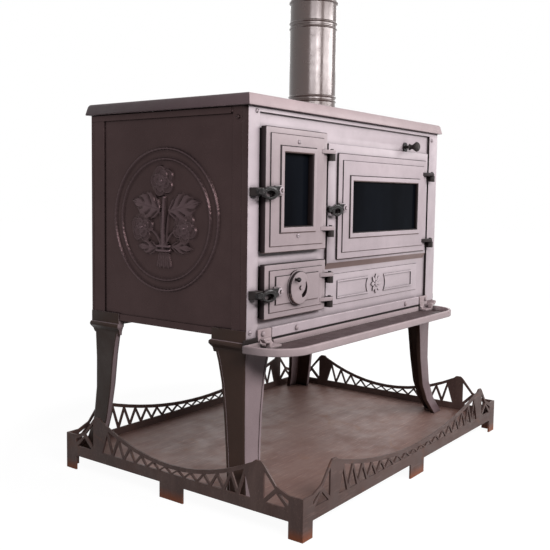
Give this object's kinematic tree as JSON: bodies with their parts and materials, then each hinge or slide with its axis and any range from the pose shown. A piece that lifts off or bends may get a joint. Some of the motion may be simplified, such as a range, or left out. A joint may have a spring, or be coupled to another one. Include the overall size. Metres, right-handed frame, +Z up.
{
  "type": "wood cookstove",
  "caption": "Wood cookstove with firebox, ash and oven doors, ring hob, flue pipe, front shelf and cast legs on a floor tray edged by truss-shaped fences.",
  "frame": {"origin": "centre of the floor tray on the ground it stands on", "axes": "+X to the right seen from the front, +Y to the back, +Z up; the doors face -Y"},
  "size_m": [0.982, 0.707, 1.265],
  "materials": {
    "enamel": "satin metallic brown-grey stove paint on cast iron",
    "dark_enamel": "satin dark brown stove paint",
    "cast": "raw grey-black casting",
    "bright_steel": "plain steel, lightly brushed",
    "pipe_enamel": "glossy brown enamel on steel sheet",
    "window_glass": "smoked heat-proof glass",
    "tray_steel": "worn brown sheet with streaks",
    "fence_steel": "dark brown sheet with a few rusty places"
  },
  "bodies": {
    "stove": {"front_frame": "enamel", "lower_fascia": "enamel", "side_panel_left": "enamel", "side_panel_right": "enamel", "back_panel": "dark_enamel", "base_plate": "dark_enamel", "top_plate": "enamel", "front_shelf": "enamel", "shelf_bracket_left": "enamel", "shelf_bracket_right": "enamel", "fascia_bolt_left": "bright_steel", "fascia_bolt_right": "bright_steel", "bracket_bolt_left": "bright_steel", "bracket_bolt_right": "bright_steel", "fire_wall": "cast", "firebox_floor": "cast", "firebox_grate": "cast", "firebox_liner_left": "cast", "firebox_liner_right": "cast", "firebox_liner_back": "cast", "ash_pan": "cast", "oven_box": "dark_enamel", "oven_rack": "bright_steel", "flue_collar": "cast", "flue_pipe_lower": "pipe_enamel", "flue_pipe_upper": "pipe_enamel", "damper_flange": "bright_steel", "leg_front_left": "enamel", "leg_front_right": "enamel", "leg_back_left": "enamel", "leg_back_right": "enamel", "tray_floor": "tray_steel", "tray_fence_front": "fence_steel", "tray_fence_back": "fence_steel", "tray_fence_left": "fence_steel", "tray_fence_right": "fence_steel"},
    "firebox_door": {"firebox_door": "enamel", "firebox_glass": "window_glass", "firebox_glass_clip": "cast"},
    "oven_door": {"oven_door": "enamel", "oven_glass": "window_glass", "oven_glass_clip": "cast"},
    "ash_door": {"ash_door": "enamel"},
    "firebox_latch": {"firebox_latch": "dark_enamel"},
    "oven_latch": {"oven_latch": "dark_enamel"},
    "ash_latch": {"ash_latch": "dark_enamel"},
    "air_disc": {"air_disc": "enamel"},
    "damper": {"damper_plate": "cast", "damper_knob": "cast"},
    "hob_ring_outer": {"hob_ring_outer": "cast"},
    "hob_ring_inner": {"hob_ring_inner": "cast"},
    "hob_lid": {"hob_lid": "cast"}
  },
  "joints": [
    {"name": "firebox_door_hinge", "type": "hinge", "parent": "stove", "child": "firebox_door", "pos_m": [-0.167, -0.1965, 0.685], "axis": [0, 0, 1], "range_deg": [0, 95]},
    {"name": "ash_door_hinge", "type": "hinge", "parent": "stove", "child": "ash_door", "pos_m": [-0.167, -0.1965, 0.471], "axis": [0, 0, 1], "range_deg": [0, 95]},
    {"name": "oven_door_hinge", "type": "hinge", "parent": "stove", "child": "oven_door", "pos_m": [0.37, -0.1915, 0.65], "axis": [0, 0, 1], "range_deg": [0, 110]},
    {"name": "firebox_latch_turn", "type": "hinge", "parent": "firebox_door", "child": "firebox_latch", "pos_m": [-0.374, -0.2033, 0.685], "axis": [0, 1, 0], "range_deg": [0, 60]},
    {"name": "ash_latch_turn", "type": "hinge", "parent": "ash_door", "child": "ash_latch", "pos_m": [-0.374, -0.2033, 0.4705], "axis": [0, 1, 0], "range_deg": [0, 60]},
    {"name": "oven_latch_turn", "type": "hinge", "parent": "oven_door", "child": "oven_latch", "pos_m": [-0.104, -0.1944, 0.647], "axis": [0, 1, 0], "range_deg": [0, 60]},
    {"name": "air_disc_turn", "type": "hinge", "parent": "ash_door", "child": "air_disc", "pos_m": [-0.3, -0.2035, 0.473], "axis": [0, 1, 0], "range_deg": [0, 105]},
    {"name": "damper_slide", "type": "slide", "parent": "stove", "child": "damper", "axis": [0, -1, 0], "range_m": [0, 0.06]},
    {"name": "hob_ring_outer_lift", "type": "slide", "parent": "stove", "child": "hob_ring_outer", "axis": [0, 0, 1], "range_m": [0, 0.06]},
    {"name": "hob_ring_inner_lift", "type": "slide", "parent": "hob_ring_outer", "child": "hob_ring_inner", "axis": [0, 0, 1], "range_m": [0, 0.06]},
    {"name": "hob_lid_lift", "type": "slide", "parent": "hob_ring_inner", "child": "hob_lid", "axis": [0, 0, 1], "range_m": [0, 0.06]}
  ]
}
